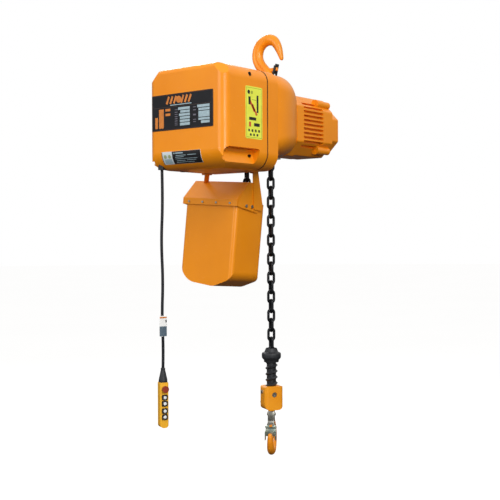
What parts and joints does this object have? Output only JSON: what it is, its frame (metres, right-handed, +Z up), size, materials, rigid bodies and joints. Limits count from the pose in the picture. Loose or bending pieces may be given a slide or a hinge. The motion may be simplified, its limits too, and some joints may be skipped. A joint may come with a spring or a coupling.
{
  "type": "electric chain hoist",
  "caption": "Electric chain hoist with swivelling suspension hook, finned motor, control box, chain container, load chain with hook block, and hanging push-button pendant.",
  "frame": {"origin": "top of the suspension hook's inner bowl, where the beam eye bears", "axes": "+Z up; +X along the motor shaft towards the motor; the chain wheel's slack side is at +Y"},
  "size_m": [0.6308, 0.3421, 1.201],
  "materials": {
    "orange_paint": "semi-gloss stoved enamel on cast aluminium",
    "container_paint": "powder coated sheet",
    "hook_paint": "glossy enamel on forged steel",
    "chain_steel": "blackened hardened steel",
    "machined_steel": "ground and oiled",
    "lamination_steel": "varnished stack",
    "winding": "varnished copper",
    "zinc_screw": "zinc plated",
    "black_screw": "black oxide",
    "black_latch": "black painted sheet steel",
    "zinc_latch": "yellow-green zinc plate",
    "black_rubber": "moulded rubber",
    "cable_sheath": "PVC sheath",
    "spring_steel": "black phosphated",
    "seal_rubber": "flat gasket",
    "black_plate": "printed plate",
    "white_label": "printed film",
    "yellow_label": "printed film",
    "tag_card": "laminated card",
    "pendant_yellow": "moulded nylon",
    "stop_red": "moulded",
    "button_black": "moulded",
    "black_plastic": "moulded nylon",
    "electric_plastic": "moulded",
    "plain_casting": "bare casting"
  },
  "bodies": {
    "housing": {"control_cover": "orange_paint", "cover_seal": "seal_rubber", "cover_screws": "black_screw", "body_casting": "orange_paint", "gear_case_cover": "plain_casting", "chain_guide": "machined_steel", "limit_switch": "electric_plastic", "bearings": "machined_steel", "motor_housing": "orange_paint", "stator_core": "lamination_steel", "stator_windings": "winding", "rear_cover": "orange_paint", "rear_cover_screws": "black_screw", "brake_coil": "electric_plastic", "chain_on_sheave": "chain_steel", "load_chain_upper": "chain_steel", "slack_chain": "chain_steel", "contactors": "electric_plastic", "transformer": "lamination_steel", "terminal_block": "electric_plastic", "pendant_gland": "black_plastic", "power_inlet": "black_plastic", "rating_plate": "black_plate", "lower_label": "white_label", "side_label": "yellow_label", "hook_bracket": "machined_steel", "chain_bucket": "container_paint", "bucket_hood": "container_paint", "bucket_hanger": "container_paint", "bucket_fasteners": "zinc_screw"},
    "rotor": {"motor_shaft": "machined_steel", "rotor_core": "lamination_steel", "brake_disc": "lamination_steel"},
    "countershaft": {"intermediate_shaft": "machined_steel", "intermediate_gear": "machined_steel"},
    "sheave": {"load_gear": "machined_steel", "load_sheave": "machined_steel"},
    "armature": {"brake_armature": "machined_steel"},
    "suspension": {"top_hook": "hook_paint"},
    "suspension_latch": {"top_latch": "black_latch"},
    "block": {"block_front": "hook_paint", "block_back": "hook_paint", "block_bolts": "zinc_screw", "load_chain_lower": "chain_steel", "bumper": "black_rubber", "cushion_spring": "spring_steel"},
    "chain_run": {"load_chain_middle": "chain_steel"},
    "load_hook": {"lower_hook": "hook_paint"},
    "load_latch": {"lower_latch": "zinc_latch"},
    "limit_arm": {"limit_lever": "zinc_screw"},
    "pendant": {"pendant_cable": "cable_sheath", "cable_tag": "tag_card", "pendant_boot": "black_rubber", "pendant_front": "pendant_yellow", "pendant_back": "pendant_yellow"},
    "stop_key": {"stop_button": "stop_red"},
    "raise_key": {"button_raise": "button_black"},
    "lower_key": {"button_lower": "button_black"},
    "left_key": {"button_left": "button_black"},
    "right_key": {"button_right": "button_black"}
  },
  "joints": [
    {"name": "motor_turn", "type": "hinge", "parent": "housing", "child": "rotor", "pos_m": [0.15, 0.04386, -0.218], "axis": [-1, 0, 0], "range_deg": [0, 22847]},
    {"name": "countershaft_turn", "type": "hinge", "parent": "housing", "child": "countershaft", "pos_m": [-0.11, 0.04386, -0.278], "axis": [-1, 0, 0], "range_deg": [-3265, 0]},
    {"name": "sheave_turn", "type": "hinge", "parent": "housing", "child": "sheave", "pos_m": [0, 0.04386, -0.218], "axis": [-1, 0, 0], "range_deg": [0, 576.5], "deforming": ["chain_on_sheave", "slack_chain"]},
    {"name": "hook_lift", "type": "slide", "parent": "housing", "child": "block", "axis": [0, 0, 1], "range_m": [0, 0.4321], "deforming": ["load_chain_lower", "load_chain_upper"]},
    {"name": "chain_feed", "type": "slide", "parent": "housing", "child": "chain_run", "axis": [0, 0, 1], "range_m": [0, 0.2161], "deforming": ["load_chain_middle"]},
    {"name": "brake_release", "type": "slide", "parent": "housing", "child": "armature", "axis": [-1, 0, 0], "range_m": [0, 0.0006], "stiffness_N_per_m": 4000},
    {"name": "suspension_swivel", "type": "hinge", "parent": "housing", "child": "suspension", "pos_m": [0, 0, -0.08], "axis": [0, 0, 1], "continuous": true},
    {"name": "suspension_latch_turn", "type": "hinge", "parent": "suspension", "child": "suspension_latch", "pos_m": [0, -0.0215, -0.0695], "axis": [-1, 0, 0], "range_deg": [0, 35], "stiffness_Nm_per_rad": 0.05, "springref_deg": -17.19},
    {"name": "hook_swivel", "type": "hinge", "parent": "block", "child": "load_hook", "pos_m": [0, 0, -1.05], "axis": [0, 0, 1], "continuous": true},
    {"name": "latch_turn", "type": "hinge", "parent": "load_hook", "child": "load_latch", "pos_m": [-0.01516, -0.00875, -1.0875], "axis": [0.5, -0.866, 0], "range_deg": [0, 35], "stiffness_Nm_per_rad": 0.05, "springref_deg": -17.19},
    {"name": "limit_lift", "type": "hinge", "parent": "housing", "child": "limit_arm", "pos_m": [0, 0.022, -0.323], "axis": [-1, 0, 0], "range_deg": [0, 6], "stiffness_Nm_per_rad": 0.15},
    {"name": "pendant_swing", "type": "hinge", "parent": "housing", "child": "pendant", "pos_m": [-0.29, 0.15, -0.3633], "axis": [0, 1, 0], "range_deg": [-12, 12], "deforming": ["pendant_cable"]},
    {"name": "stop_press", "type": "slide", "parent": "pendant", "child": "stop_key", "axis": [0.454, 0.891, 0], "range_m": [0, 0.0035], "stiffness_N_per_m": 900},
    {"name": "raise_press", "type": "slide", "parent": "pendant", "child": "raise_key", "axis": [0.454, 0.891, 0], "range_m": [0, 0.0035], "stiffness_N_per_m": 600},
    {"name": "lower_press", "type": "slide", "parent": "pendant", "child": "lower_key", "axis": [0.454, 0.891, 0], "range_m": [0, 0.0035], "stiffness_N_per_m": 600},
    {"name": "left_press", "type": "slide", "parent": "pendant", "child": "left_key", "axis": [0.454, 0.891, 0], "range_m": [0, 0.0035], "stiffness_N_per_m": 600},
    {"name": "right_press", "type": "slide", "parent": "pendant", "child": "right_key", "axis": [0.454, 0.891, 0], "range_m": [0, 0.0035], "stiffness_N_per_m": 600}
  ],
  "couplings": [
    {"joint": "countershaft_turn", "follows": "motor_turn", "ratio": -0.14286},
    {"joint": "sheave_turn", "follows": "motor_turn", "ratio": 0.02521},
    {"joint": "hook_lift", "follows": "motor_turn", "m_per_rad": 0.0010833},
    {"joint": "chain_feed", "follows": "motor_turn", "m_per_rad": 0.00054166}
  ]
}
